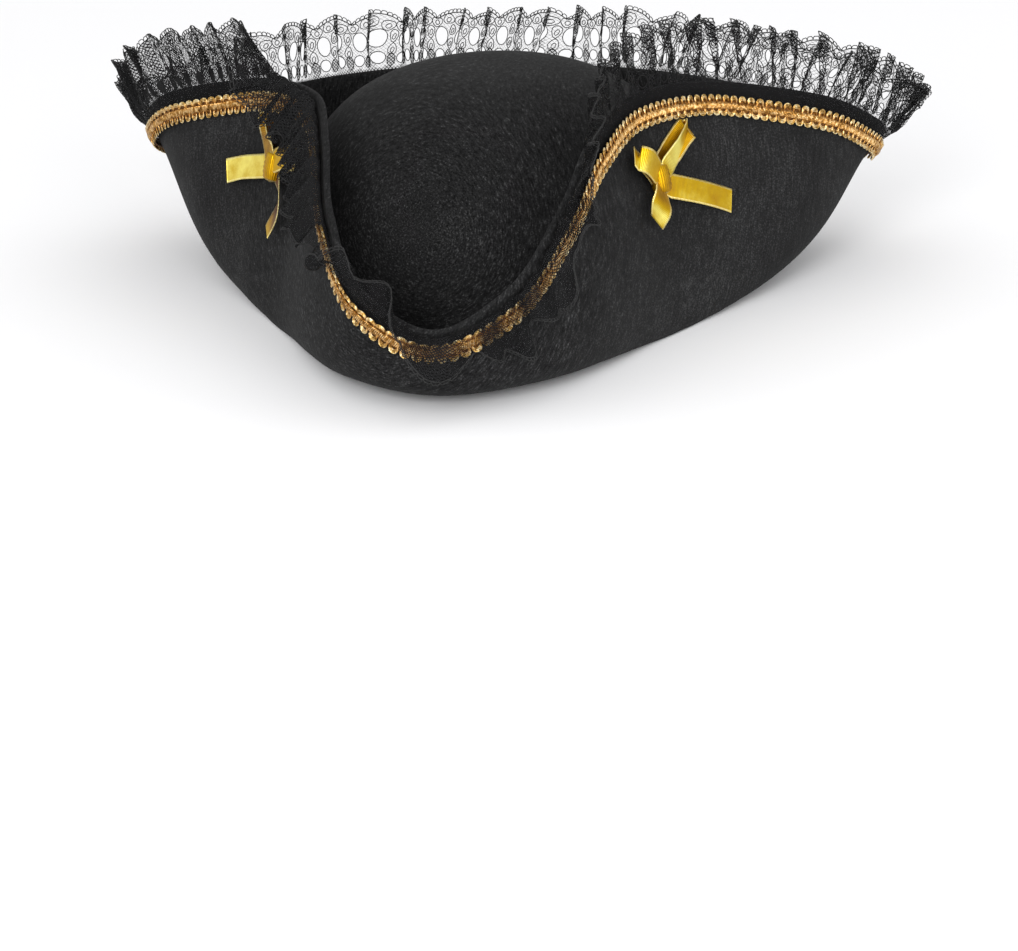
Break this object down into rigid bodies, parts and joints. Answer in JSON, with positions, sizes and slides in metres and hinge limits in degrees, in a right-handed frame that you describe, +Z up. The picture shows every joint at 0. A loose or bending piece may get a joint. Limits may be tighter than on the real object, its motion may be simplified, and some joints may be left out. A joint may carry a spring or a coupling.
{
  "type": "tricorn hat",
  "caption": "Three-cornered black felt hat with a low round crown, upturned brim flaps, gold gimp braid, a gathered lace ruffle along the edge and gold ribbon bows.",
  "frame": {"origin": "on the surface the hat rests on, under the middle of its bounding box", "axes": "+X to the hat's left side, which is the viewer's right, -Y towards the front corner, +Z up through the crown"},
  "size_m": [0.364, 0.3486, 0.1263],
  "materials": {
    "felt": "matt charcoal black needled felt with short fibres",
    "gimp": "metallic orange-gold gimp braid of scrolled loops",
    "lace": "black net lace with thick outlines and a looped edge, partly see-through",
    "ribbon": "bright gold ribbon with fine cross ribs and metallic edges"
  },
  "bodies": {
    "root": {"felt_body": "felt", "gold_braid": "gimp", "lace_ruffle": "lace", "bow_right": "ribbon", "bow_left": "ribbon"}
  },
  "joints": []
}
